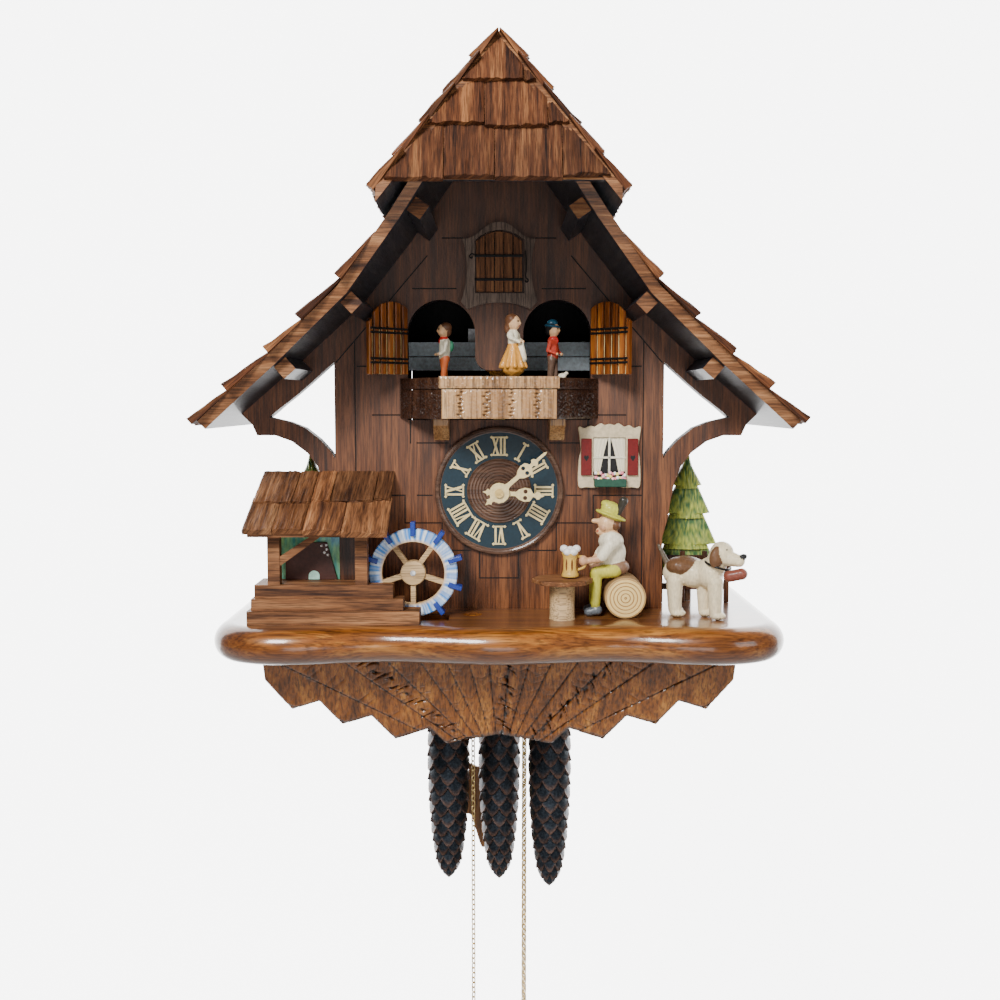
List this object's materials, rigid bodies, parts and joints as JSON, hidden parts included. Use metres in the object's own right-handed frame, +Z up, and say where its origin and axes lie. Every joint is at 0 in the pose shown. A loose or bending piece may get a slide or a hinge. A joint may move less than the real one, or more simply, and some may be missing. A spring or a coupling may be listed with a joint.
{
  "type": "cuckoo clock",
  "caption": "Wall cuckoo clock shaped like a shingled mill house with dancers, mill wheel, seated drinker, dog, pendulum, chains and pine-cone weights.",
  "frame": {"origin": "centre of the hanging hole at the back board's rear face, which lies on the wall", "axes": "+Z up, front of the clock faces -Y, +X to the viewer's right"},
  "size_m": [0.3496, 0.24, 0.7045],
  "materials": {
    "panel_wood": "stained, vertical grain",
    "plain_wood": "unfinished",
    "base_wood": "lacquered",
    "carved_wood": "carved, lacquered",
    "roof_wood": "dark stained",
    "shingle_wood": "rough sawn",
    "dark_wood": "dark stained",
    "painted_cream": "painted",
    "dial_wood": "painted and turned",
    "ivory_plastic": "smooth",
    "mill_wood": "oiled",
    "log_wood": "end grain",
    "painted_figure": "carved and painted",
    "painted_dog": "carved and painted",
    "painted_tree": "carved and painted",
    "painted_wheel": "painted",
    "brass": "satin",
    "steel": "satin",
    "bellows_paper": "folded",
    "cast_iron": "painted black with copper tips"
  },
  "bodies": {
    "case": {"front_panel": "panel_wood", "side_walls": "panel_wood", "back_board": "plain_wood", "base_slab": "base_wood", "apron": "carved_wood", "roof_frame": "roof_wood", "shingles": "shingle_wood", "arch_shutters": "dark_wood", "balcony": "dark_wood", "door_surround": "panel_wood", "window": "painted_cream", "dial": "dial_wood", "numerals": "ivory_plastic", "mill_steps": "mill_wood", "mill_frame": "mill_wood", "log_seat": "log_wood", "drinker": "painted_figure", "table": "mill_wood", "dog": "painted_dog", "trees_and_fences": "painted_tree", "movement_frame": "brass", "whistles": "plain_wood", "gong": "steel", "music_box": "steel", "chain_wraps": "brass"},
    "back_door": {"back_door": "plain_wood"},
    "minute_train": {"minute_arbor": "steel", "minute_hand": "ivory_plastic"},
    "hour_train": {"hour_wheel": "brass", "hour_hand": "ivory_plastic"},
    "minute_wheel": {"minute_wheel": "brass"},
    "pendulum": {"pendulum_rod": "steel", "pendulum_leaf": "dark_wood"},
    "bellows_right": {"bellows_right": "bellows_paper"},
    "bellows_left": {"bellows_left": "bellows_paper"},
    "gong_hammer": {"gong_hammer": "steel"},
    "turntable": {"turntable": "dark_wood", "dancers": "painted_figure"},
    "cuckoo_door": {"cuckoo_door": "dark_wood"},
    "bird": {"bird": "painted_figure"},
    "mill_wheel": {"mill_wheel": "painted_wheel"},
    "drinker_arm": {"drinker_arm": "painted_figure"},
    "sprocket_1": {"sprocket_1": "brass"},
    "weight_1": {"weight_1": "cast_iron", "weight_chain_1": "brass"},
    "free_end_1": {"free_chain_1": "brass", "chain_hank_1": "brass", "pull_ring_1": "brass"},
    "sprocket_2": {"sprocket_2": "brass"},
    "weight_2": {"weight_2": "cast_iron", "weight_chain_2": "brass"},
    "free_end_2": {"free_chain_2": "brass", "chain_hank_2": "brass", "pull_ring_2": "brass"},
    "sprocket_3": {"sprocket_3": "brass"},
    "weight_3": {"weight_3": "cast_iron", "weight_chain_3": "brass"},
    "free_end_3": {"free_chain_3": "brass", "chain_hank_3": "brass", "pull_ring_3": "brass"}
  },
  "joints": [
    {"name": "back_door_hinge", "type": "hinge", "parent": "case", "child": "back_door", "pos_m": [-0.058, -0.004, -0.118], "axis": [0, 0, 1], "range_deg": [0, 90]},
    {"name": "minute_turn", "type": "hinge", "parent": "case", "child": "minute_train", "pos_m": [0, -0.14, -0.127], "axis": [0, 1, 0], "continuous": true},
    {"name": "minute_wheel_turn", "type": "hinge", "parent": "case", "child": "minute_wheel", "pos_m": [0.0144, -0.096, -0.127], "axis": [0, 1, 0], "continuous": true},
    {"name": "hour_turn", "type": "hinge", "parent": "case", "child": "hour_train", "pos_m": [0, -0.14, -0.127], "axis": [0, 1, 0], "continuous": true},
    {"name": "pendulum_swing", "type": "hinge", "parent": "case", "child": "pendulum", "pos_m": [0, -0.024, -0.088], "axis": [0, 1, 0], "range_deg": [-7.2, 2.8]},
    {"name": "bellows_right_lift", "type": "hinge", "parent": "case", "child": "bellows_right", "pos_m": [0.078, -0.054, -0.1076], "axis": [-1, 0, 0], "range_deg": [0, 12]},
    {"name": "bellows_left_lift", "type": "hinge", "parent": "case", "child": "bellows_left", "pos_m": [-0.078, -0.054, -0.1076], "axis": [-1, 0, 0], "range_deg": [0, 12]},
    {"name": "hammer_strike", "type": "hinge", "parent": "case", "child": "gong_hammer", "pos_m": [0.028, -0.017, -0.042], "axis": [0, 1, 0], "range_deg": [-10, 8]},
    {"name": "turntable_turn", "type": "hinge", "parent": "case", "child": "turntable", "pos_m": [0, -0.112, -0.076], "axis": [0, 0, 1], "continuous": true},
    {"name": "cuckoo_door_hinge", "type": "hinge", "parent": "case", "child": "cuckoo_door", "pos_m": [0.0149, -0.1236, 0.008], "axis": [0, 0, 1], "range_deg": [0, 100]},
    {"name": "bird_slide", "type": "slide", "parent": "case", "child": "bird", "axis": [0, -1, 0], "range_m": [0, 0.028]},
    {"name": "mill_wheel_turn", "type": "hinge", "parent": "case", "child": "mill_wheel", "pos_m": [-0.0505, -0.15, -0.173], "axis": [0, 1, 0], "continuous": true},
    {"name": "drinker_arm_lift", "type": "hinge", "parent": "case", "child": "drinker_arm", "pos_m": [0.066, -0.1532, -0.154], "axis": [0, 1, 0], "range_deg": [0, 40]},
    {"name": "weight_1_drop", "type": "slide", "parent": "case", "child": "weight_1", "axis": [0, 0, -1], "range_m": [0, 0.05]},
    {"name": "free_end_1_rise", "type": "slide", "parent": "case", "child": "free_end_1", "axis": [0, 0, 1], "range_m": [0, 0.05]},
    {"name": "sprocket_1_turn", "type": "hinge", "parent": "case", "child": "sprocket_1", "pos_m": [-0.0262, -0.054, -0.152], "axis": [0, 1, 0], "range_deg": [-343, 0]},
    {"name": "weight_2_drop", "type": "slide", "parent": "case", "child": "weight_2", "axis": [0, 0, -1], "range_m": [0, 0.05]},
    {"name": "free_end_2_rise", "type": "slide", "parent": "case", "child": "free_end_2", "axis": [0, 0, 1], "range_m": [0, 0.05]},
    {"name": "sprocket_2_turn", "type": "hinge", "parent": "case", "child": "sprocket_2", "pos_m": [0.0084, -0.046, -0.152], "axis": [0, 1, 0], "range_deg": [-343, 0]},
    {"name": "weight_3_drop", "type": "slide", "parent": "case", "child": "weight_3", "axis": [0, 0, -1], "range_m": [0, 0.05]},
    {"name": "free_end_3_rise", "type": "slide", "parent": "case", "child": "free_end_3", "axis": [0, 0, 1], "range_m": [0, 0.05]},
    {"name": "sprocket_3_turn", "type": "hinge", "parent": "case", "child": "sprocket_3", "pos_m": [0.0256, -0.062, -0.152], "axis": [0, 1, 0], "range_deg": [0, 343]}
  ],
  "couplings": [
    {"joint": "minute_wheel_turn", "follows": "minute_turn", "ratio": -0.33333},
    {"joint": "hour_turn", "follows": "minute_turn", "ratio": 0.083333},
    {"joint": "bird_slide", "follows": "cuckoo_door_hinge", "m_per_rad": 0.016},
    {"joint": "free_end_1_rise", "follows": "weight_1_drop", "ratio": 1},
    {"joint": "sprocket_1_turn", "follows": "weight_1_drop", "rad_per_m": -119.05},
    {"joint": "free_end_2_rise", "follows": "weight_2_drop", "ratio": 1},
    {"joint": "sprocket_2_turn", "follows": "weight_2_drop", "rad_per_m": -119.05},
    {"joint": "free_end_3_rise", "follows": "weight_3_drop", "ratio": 1},
    {"joint": "sprocket_3_turn", "follows": "weight_3_drop", "rad_per_m": 119.05}
  ]
}
